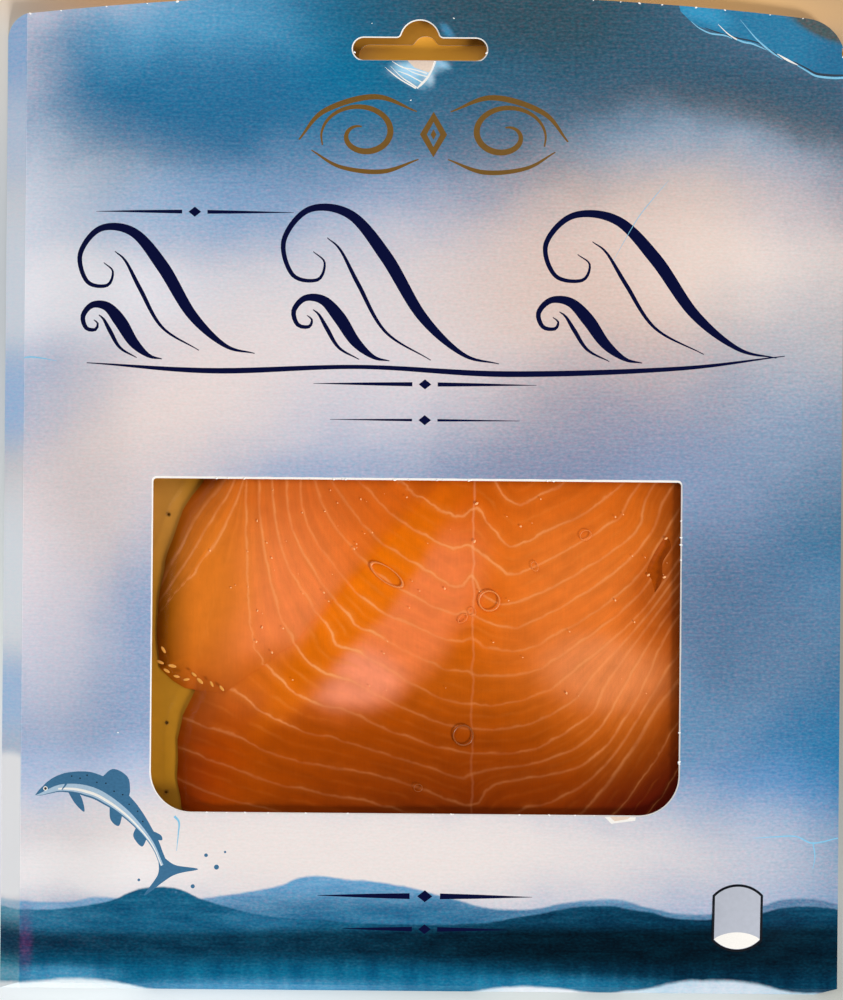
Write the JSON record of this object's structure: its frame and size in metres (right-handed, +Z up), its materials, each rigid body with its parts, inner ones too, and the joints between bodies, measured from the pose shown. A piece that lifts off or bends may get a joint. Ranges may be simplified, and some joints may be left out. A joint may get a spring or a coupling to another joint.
{
  "type": "smoked salmon pack",
  "caption": "Flat retail pack of smoked salmon: card sleeve with a hang slot and a window over sliced fish under clear film on a gold board.",
  "frame": {"origin": "middle of the pack's footprint, on the surface that it lies on", "axes": "+Y along the pack's height towards the hang slot, +Z up out of the printed face, +X to the right of it"},
  "size_m": [0.2, 0.238, 0.0086],
  "materials": {
    "printed_card": "satin printed card, white core at the cut edges",
    "gold_board": "gold laminated board",
    "smoked_salmon": "moist cut fish with pale fat lines",
    "clear_film": "clear gloss film"
  },
  "bodies": {
    "root": {"sleeve": "printed_card", "gold_board": "gold_board", "main_slice": "smoked_salmon", "left_slice": "smoked_salmon", "film": "clear_film"}
  },
  "joints": []
}
